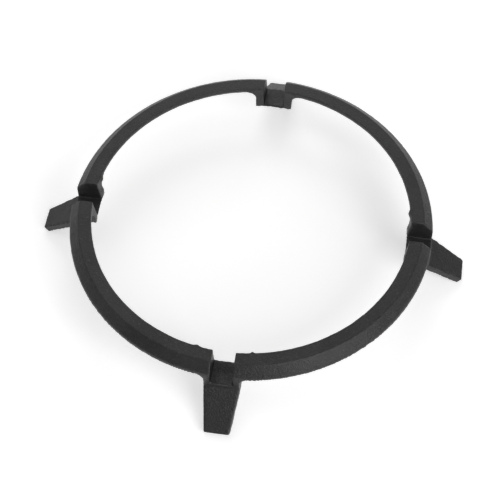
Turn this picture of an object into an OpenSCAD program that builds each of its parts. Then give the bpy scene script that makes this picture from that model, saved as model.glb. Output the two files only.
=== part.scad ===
// Pot stand for a gas hob: one iron casting.
// A flat-topped ring carries the pot. Slots cut down through the ring let it
// straddle the fingers of a burner grate, and below each slot a pair of cheeks
// runs into a flat leg that splays outwards to the hob.
// Millimetres, +Z up, origin on the ground under the centre of the ring.

/* [Ring] */
// Outer diameter of the ring, at the foot of its bevel
ring_d = 230; // [180:1:300]
// Width of the ring from its inner top edge to the foot of its bevel
ring_w = 13.6; // [11:0.1:20]
// Width of the flat land on top, where the pot rests
land_w = 7.7; // [4:0.1:9]
// Height of the outer bevel
bevel_h = 5.9; // [2:0.1:7]
// Height of the outer wall under the bevel
outer_wall_h = 2.2; // [1:0.1:5]
// How far the outer wall leans out at its foot
outer_draft = 0.45; // [0:0.05:0.8]
// Height of the inner wall
inner_wall_h = 4.4; // [3:0.1:7]
// How far the foot of the inner wall lies outside its top edge
inner_draft = 0.9; // [0.1:0.1:1.5]
// How far the mould's parting line stands into the bore, halfway down the wall
parting_proud = 0.25; // [0.1:0.05:0.6]

/* [Slots] */
// Number of slots, each with its own leg
leg_count = 4; // [3:1:6]
// Width of a slot
slot_w = 14; // [8:0.1:16]
// Depth of a slot below the top of the ring
slot_depth = 15.8; // [12:0.1:20]

/* [Bosses] */
// Width over the two cheeks at the inner face
boss_w = 24.2; // [22:0.1:30]
// How far the inner face leans into the bore at its foot
boss_lean = 0.6; // [0.4:0.1:3]
// Thickness of the slot floor at the inner face
floor_t = 1; // [1:0.1:3]
// Drop from the slot floor to the root of the leg, at the outer face
step_h = 3.6; // [2:0.1:8]
// Radius of the cove between a cheek's side and the underside of the ring
cove_r = 6; // [2:0.5:8]

/* [Legs] */
// Width of a leg where it leaves the ring
leg_root_w = 21.7; // [20:0.1:24]
// Width of a leg at its tip
leg_tip_w = 14.9; // [8:0.1:18]
// How far the tip of a leg stands out beyond the ring
leg_reach = 22.8; // [12:0.1:40]
// Slope of a leg below level
leg_slope = 36.2; // [25:0.1:50]
// Thickness of a leg, square to its slope
leg_t = 4.4; // [3:0.1:7]

/* [Hidden] */
iron = [0.16, 0.16, 0.16];

// Heights are worked out downwards from the top of the ring
root_drop = slot_depth + step_h;
tip_drop = root_drop + leg_reach * tan(leg_slope);
stand_h = tip_drop + leg_t * cos(leg_slope);
ring_foot = bevel_h + outer_wall_h;
boss_foot = slot_depth + floor_t;

// Radii of the ring's edges
r_out = ring_d / 2;
r_foot = r_out + outer_draft;
r_in = r_out - ring_w;
r_under = r_in + inner_draft;
r_parting = r_in - parting_proud;
r_boss = r_in - boss_lean;
r_tip = r_out + leg_reach;

// The underside of the leg runs on inwards until it meets the boss's level foot
under_drop = root_drop + leg_t / cos(leg_slope);
r_heel = r_out - (under_drop - boss_foot) / tan(leg_slope);

// Taper of the plan outline to each side, and slope of the ring's underside
boss_taper = atan((boss_w - leg_root_w) / 2 / (r_out - r_boss));
leg_taper = atan((leg_root_w - leg_tip_w) / 2 / leg_reach);
under_slope = atan((ring_foot - inner_wall_h) / (r_foot - r_under));

// How far a cove's circle cuts into the two faces that it joins
cove_bite = 0.15;
// How far one shape runs into another, and how far a cutter runs past
lap = 1;
past = 5;

$fn = 180;

// Outline of the ring and a boss together, as radius and height below the top
module body_section() {
    polygon([
        [r_in, 0],
        [r_in + land_w, 0],
        [r_out, -bevel_h],
        [r_foot, -ring_foot],
        [r_foot, -under_drop],
        [r_boss, -under_drop],
        [r_boss, -boss_foot],
        [r_parting, -inner_wall_h / 2]
    ]);
}

// What is cut away between the legs: all that lies under the ring's own section
module gap_section() {
    polygon([
        [r_boss - past, -inner_wall_h / 2],
        [r_parting, -inner_wall_h / 2],
        [r_under, -inner_wall_h],
        [r_foot, -ring_foot],
        [r_tip + past, -ring_foot],
        [r_tip + past, -stand_h - past],
        [r_boss - past, -stand_h - past]
    ]);
}

// Plan outline of one boss and leg, tapering towards the tip
module plan_outline() {
    inner = r_boss - 2 * past;
    outer = r_tip + 2 * past;
    stations = [
        [inner, boss_w / 2 + (r_boss - inner) * tan(boss_taper)],
        [r_out, leg_root_w / 2],
        [outer, leg_tip_w / 2 - (outer - r_tip) * tan(leg_taper)]
    ];
    translate([0, 0, -stand_h - 2 * past]) linear_extrude(stand_h + 3 * past)
        polygon(concat(
            [for (p = stations) [p[0], -p[1]]],
            [for (i = [2:-1:0]) stations[i]]
        ));
}

// A side outline, drawn as radius and height, made as wide as the whole support
module slab() {
    rotate([90, 0, 0]) linear_extrude(boss_w + 4 * cove_r, center = true) children();
}

// The leg's plate from inside the boss to its square-cut tip, left thick below
module leg_plate() {
    deep = leg_t + past;
    slab() polygon([
        [r_out - past, -root_drop + past * tan(leg_slope)],
        [r_tip, -tip_drop],
        [r_tip - deep * sin(leg_slope), -tip_drop - deep * cos(leg_slope)],
        [r_out - past, -under_drop + past * tan(leg_slope) - lap]
    ]);
}

// What lies below the casting: under the boss's level foot and the leg's slope
module underneath() {
    slab() polygon([
        [r_boss - past, -boss_foot],
        [r_heel, -boss_foot],
        [r_tip + past, -under_drop - (leg_reach + past) * tan(leg_slope)],
        [r_tip + past, -stand_h - 4 * past],
        [r_boss - past, -stand_h - 4 * past]
    ]);
}

// Cove in the corner between one cheek's side and the underside of the ring
module cove() {
    translate([r_under, boss_w / 2 - (r_under - r_boss) * tan(boss_taper), -inner_wall_h])
        rotate([0, under_slope, -boss_taper])
        rotate([90, 0, 90])
        translate([0, 0, -past])
        linear_extrude(ring_w + 2 * past)
        difference() {
            translate([-lap, -cove_r]) square([cove_r + lap, cove_r + lap]);
            translate([cove_r - cove_bite, cove_bite - cove_r]) circle(cove_r);
        }
}

// The open space between neighbouring legs, with a cove at each of its corners
module gaps() {
    difference() {
        rotate_extrude() gap_section();
        at_each_leg() {
            plan_outline();
            cove();
            mirror([0, 1, 0]) cove();
        }
    }
}

// The space that a slot leaves, right through ring and boss
module slot() {
    translate([r_boss - past, -slot_w / 2, -slot_depth])
        cube([r_foot - r_boss + 2 * past, slot_w, slot_depth + past]);
}

// Repeats a shape, drawn along +X, at every leg
module at_each_leg() {
    for (i = [0:leg_count - 1]) rotate([0, 0, i * 360 / leg_count]) children();
}

module pot_stand() {
    color(iron) translate([0, 0, stand_h]) difference() {
        union() {
            rotate_extrude() body_section();
            at_each_leg() leg_plate();
        }
        gaps();
        at_each_leg() underneath();
        at_each_leg() slot();
    }
}

pot_stand();
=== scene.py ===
"""Pot stand: a black iron casting on a pale floor in soft studio light."""

import math

import bpy
import numpy as np
from mathutils import Matrix, Vector, noise


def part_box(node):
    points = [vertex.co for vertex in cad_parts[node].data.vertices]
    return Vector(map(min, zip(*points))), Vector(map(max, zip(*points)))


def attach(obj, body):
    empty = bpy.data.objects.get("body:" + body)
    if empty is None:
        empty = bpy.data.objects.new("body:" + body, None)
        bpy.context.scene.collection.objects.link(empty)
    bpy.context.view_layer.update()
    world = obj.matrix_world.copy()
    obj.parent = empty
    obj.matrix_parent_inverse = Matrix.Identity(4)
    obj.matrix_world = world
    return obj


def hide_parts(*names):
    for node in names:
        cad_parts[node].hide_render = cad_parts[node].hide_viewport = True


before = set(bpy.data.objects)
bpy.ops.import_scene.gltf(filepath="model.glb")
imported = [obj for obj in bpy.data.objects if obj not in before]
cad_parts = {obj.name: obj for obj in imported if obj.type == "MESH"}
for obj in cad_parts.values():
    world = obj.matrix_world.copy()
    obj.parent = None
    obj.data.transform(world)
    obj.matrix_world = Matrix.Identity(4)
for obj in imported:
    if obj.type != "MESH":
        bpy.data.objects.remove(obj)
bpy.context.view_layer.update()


MM = 0.001

# The part, read from the frame: the top of the ring is its highest plane
NODE = "pot_stand"
LOW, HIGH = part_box(NODE)
RING_TOP = HIGH.z

# Camera: where it stands round the ring's top centre, and how it is turned
CAMERA_DISTANCE = 820.4 * MM
CAMERA_ELEVATION = math.radians(55.212)
CAMERA_AZIMUTH = math.radians(279.786)
CAMERA_PAN_RIGHT = math.radians(-0.068)
CAMERA_TILT_DOWN = math.radians(1.672)
CAMERA_ROLL = math.radians(-1.10)
CAMERA_LENS_MM = 93.30


def make_camera():
    """The photograph's view: the ring's centre lies a little above the middle."""
    target = Vector((0, 0, RING_TOP))
    flat = math.cos(CAMERA_ELEVATION)
    offset = Vector((
        flat * math.cos(CAMERA_AZIMUTH),
        flat * math.sin(CAMERA_AZIMUTH),
        math.sin(CAMERA_ELEVATION),
    )) * CAMERA_DISTANCE
    look = (-offset).to_track_quat("-Z", "Y").to_matrix().to_4x4()
    turn = (
        Matrix.Rotation(-CAMERA_PAN_RIGHT, 4, "Y")
        @ Matrix.Rotation(-CAMERA_TILT_DOWN, 4, "X")
        @ Matrix.Rotation(CAMERA_ROLL, 4, "Z")
    )
    data = bpy.data.cameras.new("camera")
    data.lens = CAMERA_LENS_MM
    data.sensor_width = 36
    data.sensor_fit = "HORIZONTAL"
    camera = bpy.data.objects.new("camera", data)
    camera.matrix_world = Matrix.Translation(target + offset) @ look @ turn
    bpy.context.scene.collection.objects.link(camera)
    bpy.context.scene.camera = camera


# The ring's own sizes, as in the solid model: the radii of its inner and outer
# edges, and how far its outer wall reaches down below its top
RING_INNER = 101.4 * MM
RING_OUTER = 115.0 * MM
RING_FOOT = 8.1 * MM

# Casting: the mesh is remade in small even faces, so that its edges can be
# worn round and its faces given the unevenness of sand casting
VOXEL = 0.4 * MM
EDGE_SMOOTH_STEPS = 4
EDGE_SMOOTH_SHARE = 0.5
# What the smoothing takes off the faces, put back by moving them outwards
SMOOTHING_LOSS = 0.18 * MM
# How far the smoothing pulls in an edge that counts as fully worn; the same edges also get a
# painted highlight in the iron's colour
FULL_WEAR_AND_HIGHLIGHT_EDGE = 0.25 * MM
TRIANGLES = 185000

# Unevenness of the mould: size across and height of its waves and of its sand
WAVE_SIZE = 9 * MM
WAVE_HEIGHT = 0.24 * MM
SAND_SIZE = 1.4 * MM
SAND_HEIGHT = 0.18 * MM

# The bosses' inner faces lean into the bore more than the plain solid's do,
# and rise a little at their foot
LEAN_FROM = 3 * MM
LEAN_TO = 15 * MM
LEAN_INWARDS = 1.0 * MM
LEAN_UPWARDS = 0.7 * MM
LEAN_FADES_OVER = 7 * MM

# Ragged edges of the legs and bosses, left where an edge is worn at all
BURR_SIZE = 1.6 * MM
BURR_HEIGHT = 1.3 * MM
BURR_OCTAVES = 2
BURR_LEAST_WEAR = 0.05

# Lumps that the mould left on the bore: azimuth in degrees, depth below the
# top, size across and how far each stands into the bore, in millimetres
BORE_LUMPS = [
    (260.4, 0.6, 1.8, 0.9),
    (279.4, 0.4, 1.1, 1.0),
    (8.6, 2.2, 2.2, 1.2),
    (5.0, 9.0, 1.6, 0.9),
    (353.0, 12.0, 1.5, 0.9),
    (350.2, 2.5, 1.6, 0.9),
    (172.2, 3.0, 1.8, 1.1),
    (174.0, 11.5, 2.2, 0.8),
    (98.9, 3.0, 1.2, 0.5),
    (82.0, 2.6, 1.2, 0.5),
]


def apply_modifiers(piece):
    """Bakes every modifier of a piece into its mesh."""
    graph = bpy.context.evaluated_depsgraph_get()
    mesh = bpy.data.meshes.new_from_object(
        piece.evaluated_get(graph), preserve_all_data_layers=True, depsgraph=graph
    )
    old = piece.data
    piece.modifiers.clear()
    piece.data = mesh
    bpy.data.meshes.remove(old)


def read_points(mesh):
    """The mesh's vertices as one array of rows."""
    co = np.zeros(len(mesh.vertices) * 3, np.float32)
    mesh.vertices.foreach_get("co", co)
    return co.reshape(-1, 3)


def read_normals(mesh):
    """The mesh's vertex normals as one array of rows."""
    normals = np.zeros(len(mesh.vertices) * 3, np.float32)
    mesh.vertex_normals.foreach_get("vector", normals)
    return normals.reshape(-1, 3)


def write_points(mesh, co):
    """Puts rows of an array back as the mesh's vertices."""
    mesh.vertices.foreach_set("co", co.astype(np.float32).ravel())
    mesh.update()


def ramp(value, start, end):
    """A smooth step from 0 at start to 1 at end."""
    t = np.clip((value - start) / (end - start), 0, 1)
    return t * t * (3 - 2 * t)


def displace(piece, name, size, height):
    """Moves the surface in and out by up to half of height, in lumps of one size."""
    texture = bpy.data.textures.new(name, "CLOUDS")
    texture.noise_scale = size
    texture.noise_depth = 2
    wave = piece.modifiers.new(name, "DISPLACE")
    wave.texture = texture
    wave.texture_coords = "LOCAL"
    wave.strength = height
    wave.mid_level = 0.5


def lean_bosses(co):
    """Pulls the bosses' inner faces into the bore, most at their foot."""
    radius = np.hypot(co[:, 0], co[:, 1])
    depth = RING_TOP - co[:, 2]
    share = ramp(depth, LEAN_FROM, LEAN_TO)
    share *= 1 - ramp(radius, RING_INNER, RING_INNER + LEAN_FADES_OVER)
    inwards = co[:, :2] / radius[:, None]
    co[:, :2] -= inwards * (LEAN_INWARDS * share)[:, None]
    co[:, 2] += LEAN_UPWARDS * share
    return co


def add_bore_lumps(co):
    """Raises the round lumps on the bore."""
    for azimuth, depth, size, height in BORE_LUMPS:
        angle = math.radians(azimuth)
        outwards = np.array((math.cos(angle), math.sin(angle), 0))
        centre = outwards * RING_INNER
        centre[2] = RING_TOP - depth * MM
        away = np.linalg.norm(co - centre, axis=1) / (size * MM)
        co -= outwards * (height * MM * np.exp(-away ** 2))[:, None]
    return co


def add_burrs(co, normals, edge_wear_and_highlight):
    """Leaves the edges below the ring ragged, as they come from the mould."""
    radius = np.hypot(co[:, 0], co[:, 1])
    depth = RING_TOP - co[:, 2]
    away = np.maximum(depth, radius - RING_OUTER + RING_FOOT)
    share = edge_wear_and_highlight * ramp(away, RING_FOOT, 2 * RING_FOOT)
    for i in np.flatnonzero(share > BURR_LEAST_WEAR):
        rise = noise.fractal(Vector(co[i]) / BURR_SIZE, 1.0, 2.0, BURR_OCTAVES)
        co[i] += normals[i] * (BURR_HEIGHT * rise * share[i])
    return co


def make_casting():
    """The whole stand, remade from the solid model's mesh."""
    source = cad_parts[NODE]
    piece = bpy.data.objects.new("casting", source.data.copy())
    bpy.context.scene.collection.objects.link(piece)
    piece.data.materials.clear()

    remesh = piece.modifiers.new("remesh", "REMESH")
    remesh.mode = "VOXEL"
    remesh.voxel_size = VOXEL
    apply_modifiers(piece)
    sharp = read_points(piece.data)

    smooth = piece.modifiers.new("round edges", "SMOOTH")
    smooth.factor = EDGE_SMOOTH_SHARE
    smooth.iterations = EDGE_SMOOTH_STEPS
    apply_modifiers(piece)
    co = read_points(piece.data)
    normals = read_normals(piece.data)
    # How far each edge was rounded: it places the burrs, and it places the rubbed wear and
    # the painted edge highlight in the iron's colour
    edge_wear_and_highlight = np.clip(((sharp - co) * normals).sum(axis=1) / FULL_WEAR_AND_HIGHLIGHT_EDGE, 0, 1)
    wear_and_highlight = piece.data.attributes.new("wear_and_highlight", "FLOAT", "POINT")
    wear_and_highlight.data.foreach_set("value", edge_wear_and_highlight.astype(np.float32))
    co = lean_bosses(co + normals * SMOOTHING_LOSS)
    co = add_burrs(add_bore_lumps(co), normals, edge_wear_and_highlight)
    write_points(piece.data, co)

    displace(piece, "waviness", WAVE_SIZE, WAVE_HEIGHT)
    displace(piece, "sand", SAND_SIZE, SAND_HEIGHT)
    apply_modifiers(piece)

    faces = sum(len(p.vertices) - 2 for p in piece.data.polygons)
    thin = piece.modifiers.new("thin out", "DECIMATE")
    thin.ratio = min(1.0, TRIANGLES / faces)
    apply_modifiers(piece)

    mesh = piece.data
    low = np.array(LOW, np.float32)
    high = np.array(HIGH, np.float32)
    write_points(mesh, np.clip(read_points(mesh), low, high))
    mesh.polygons.foreach_set("use_smooth", np.ones(len(mesh.polygons), bool))
    return piece


def feed(tree, source, socket):
    """Feeds a socket with another node's output, or with a plain number."""
    if isinstance(source, float):
        socket.default_value = source
    else:
        tree.links.new(source, socket)


def combine(tree, operation, first, second):
    """A sum, product or the like of two values."""
    node = tree.nodes.new("ShaderNodeMath")
    node.operation = operation
    feed(tree, first, node.inputs[0])
    feed(tree, second, node.inputs[1])
    return node.outputs["Value"]


def remap(tree, value, source, target=(0, 1)):
    """A value stretched from the source range to the target range and held in it."""
    node = tree.nodes.new("ShaderNodeMapRange")
    tree.links.new(value, node.inputs["Value"])
    node.inputs["From Min"].default_value = source[0]
    node.inputs["From Max"].default_value = source[1]
    node.inputs["To Min"].default_value = target[0]
    node.inputs["To Max"].default_value = target[1]
    return node.outputs["Result"]


def mix(tree, amount, first, second):
    """A colour between two others; a plain number stands for a grey."""
    node = tree.nodes.new("ShaderNodeMix")
    node.data_type = "RGBA"
    tree.links.new(amount, node.inputs["Factor"])
    for name, colour in (("A", first), ("B", second)):
        socket = next(s for s in node.inputs if s.name == name and s.type == "RGBA")
        if isinstance(colour, float):
            socket.default_value = (colour, colour, colour, 1)
        else:
            tree.links.new(colour, socket)
    return next(s for s in node.outputs if s.type == "RGBA")


# Iron: grey levels of its skin, of light grains of sand and of rubbed edges, which also carry
# a painted highlight
IRON_DARK = 0.013
IRON_PALE = 0.021
IRON_SPECK = 0.065
# Grey of the rubbed edges, made pale enough to serve as a painted highlight along ridges and
# slot ends too
IRON_RUBBED_AND_HIGHLIGHT = 0.12
IRON_IOR = 1.52
IRON_ROUGHNESS = (0.34, 0.46)

# Random patterns of the skin, in spots to the metre
PATCHES = 40
RUBBED_AND_HIGHLIGHT_SPOTS = 260
GRAINS = 900
DUST = 3200

# The part of each pattern's range, or of the wear and painted highlight mask, over which its
# effect grows
PATCH_RANGE = (0.35, 0.65)
SPECK_RANGE = (0.58, 0.78)
SHINE_RANGE = (0.3, 0.7)
RUBBED_AND_HIGHLIGHT_RANGE = (0.38, 0.6)
WEAR_AND_HIGHLIGHT_RANGE = (0.16, 0.28)

# Relief of the grains, and the share of the dust in it
GRAIN_HEIGHT = 0.36 * MM
DUST_SHARE = 0.35


def make_iron():
    """Black sand-cast iron: satin, grained, rubbed lighter along its edges, with a painted
    highlight there too.
    """
    material = bpy.data.materials.new("iron")
    material.use_nodes = True
    tree = material.node_tree
    shader = tree.nodes["Principled BSDF"]
    shader.inputs["IOR"].default_value = IRON_IOR
    place = tree.nodes.new("ShaderNodeTexCoord")

    def spots(scale, detail, roughness=0.5):
        node = tree.nodes.new("ShaderNodeTexNoise")
        node.inputs["Scale"].default_value = scale
        node.inputs["Detail"].default_value = detail
        node.inputs["Roughness"].default_value = roughness
        tree.links.new(place.outputs["Object"], node.inputs["Vector"])
        return node.outputs["Fac"]

    grains = spots(GRAINS, 3, 0.6)
    wear_and_highlight = tree.nodes.new("ShaderNodeAttribute")
    wear_and_highlight.attribute_name = "wear_and_highlight"
    # Lighter edges: part rubbed wear, part painted highlight, broken up by spots
    rubbed_and_highlit = combine(
        tree,
        "MULTIPLY",
        remap(tree, wear_and_highlight.outputs["Fac"], WEAR_AND_HIGHLIGHT_RANGE),
        remap(tree, spots(RUBBED_AND_HIGHLIGHT_SPOTS, 3), RUBBED_AND_HIGHLIGHT_RANGE),
    )

    patches = remap(tree, spots(PATCHES, 3), PATCH_RANGE)
    skin = mix(tree, patches, IRON_DARK, IRON_PALE)
    speckled = mix(tree, remap(tree, grains, SPECK_RANGE), skin, IRON_SPECK)
    tree.links.new(mix(tree, rubbed_and_highlit, speckled, IRON_RUBBED_AND_HIGHLIGHT), shader.inputs["Base Color"])
    shine = remap(tree, grains, SHINE_RANGE, IRON_ROUGHNESS)
    tree.links.new(shine, shader.inputs["Roughness"])

    dust = remap(tree, spots(DUST, 2), (0, 1), (0, DUST_SHARE))
    bump = tree.nodes.new("ShaderNodeBump")
    bump.inputs["Strength"].default_value = 1.0
    bump.inputs["Distance"].default_value = GRAIN_HEIGHT
    tree.links.new(combine(tree, "ADD", grains, dust), bump.inputs["Height"])
    tree.links.new(bump.outputs["Normal"], shader.inputs["Normal"])
    return material


# Floor: how far it reaches from its middle, and its grey
FLOOR_REACH = 3.0
FLOOR_GREY = 0.82

# How much the floor glows to the camera, so that it looks white: less near
# the stand, to keep its shadow, and fully white further out
GLOW_FROM = 0.1
GLOW_TO = 0.5
GLOW_NEAR = 0.48
GLOW_FAR = 1.0
# How much it glows in what the iron mirrors
GLOW_MIRRORED = 0.45


def make_floor():
    """A pale matt floor that looks white and keeps the stand's shadow."""
    mesh = bpy.data.meshes.new("floor")
    r = FLOOR_REACH
    mesh.from_pydata([(-r, -r, 0), (r, -r, 0), (r, r, 0), (-r, r, 0)], [], [(0, 1, 2, 3)])
    floor = bpy.data.objects.new("floor", mesh)
    bpy.context.scene.collection.objects.link(floor)
    material = bpy.data.materials.new("floor")
    material.use_nodes = True
    tree = material.node_tree
    shader = tree.nodes["Principled BSDF"]
    shader.inputs["Base Color"].default_value = (FLOOR_GREY, FLOOR_GREY, FLOOR_GREY, 1)
    shader.inputs["Roughness"].default_value = 1.0
    shader.inputs["Specular IOR Level"].default_value = 0.0

    place = tree.nodes.new("ShaderNodeTexCoord")
    distance = tree.nodes.new("ShaderNodeVectorMath")
    distance.operation = "LENGTH"
    tree.links.new(place.outputs["Object"], distance.inputs[0])
    glow = remap(tree, distance.outputs["Value"], (GLOW_FROM, GLOW_TO), (GLOW_NEAR, GLOW_FAR))
    path = tree.nodes.new("ShaderNodeLightPath")
    seen = combine(tree, "MULTIPLY", path.outputs["Is Camera Ray"], glow)
    mirrored = combine(tree, "MULTIPLY", path.outputs["Is Glossy Ray"], GLOW_MIRRORED)
    shader.inputs["Emission Color"].default_value = (1, 1, 1, 1)
    emission = combine(tree, "ADD", seen, mirrored)
    tree.links.new(emission, shader.inputs["Emission Strength"])
    mesh.materials.append(material)


# Soft square lamps round the stand: azimuth and elevation in degrees, watts
LAMP_DISTANCE = 1.7
LAMP_SIZE = 1.0
LAMPS = {
    "front right": (318, 35, 15),
    "back": (100, 40, 7),
    "left": (165, 50, 2.5),
    "overhead": (165, 85, 1.5),
    "front left": (235, 35, 1.5),
}


def make_lamp(name, azimuth, elevation, power):
    """A lamp that faces the middle of the ring."""
    turn = math.radians(azimuth)
    rise = math.radians(elevation)
    flat = math.cos(rise)
    towards = Vector((flat * math.cos(turn), flat * math.sin(turn), math.sin(rise)))
    data = bpy.data.lights.new(name, "AREA")
    data.shape = "SQUARE"
    data.size = LAMP_SIZE
    data.energy = power
    lamp = bpy.data.objects.new(name, data)
    lamp.location = towards * LAMP_DISTANCE
    lamp.rotation_euler = (-towards).to_track_quat("-Z", "Y").to_euler()
    bpy.context.scene.collection.objects.link(lamp)


# Level of the light from all round, and of the white that the camera sees
WORLD_LIGHT = 0.11
WORLD_SEEN = 1.0


def make_world():
    """A faint even light from all round, white to the camera."""
    world = bpy.data.worlds.new("studio")
    bpy.context.scene.world = world
    world.use_nodes = True
    tree = world.node_tree
    back = tree.nodes["Background"]
    back.inputs["Color"].default_value = (1, 1, 1, 1)
    path = tree.nodes.new("ShaderNodeLightPath")
    level = remap(tree, path.outputs["Is Camera Ray"], (0, 1), (WORLD_LIGHT, WORLD_SEEN))
    tree.links.new(level, back.inputs["Strength"])


make_camera()
casting = make_casting()
casting.data.materials.append(make_iron())
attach(casting, "root")
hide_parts(NODE)

make_floor()
for lamp_name, (azimuth, elevation, power) in LAMPS.items():
    make_lamp(lamp_name, azimuth, elevation, power)
make_world()

bpy.context.scene.view_settings.view_transform = "Standard"
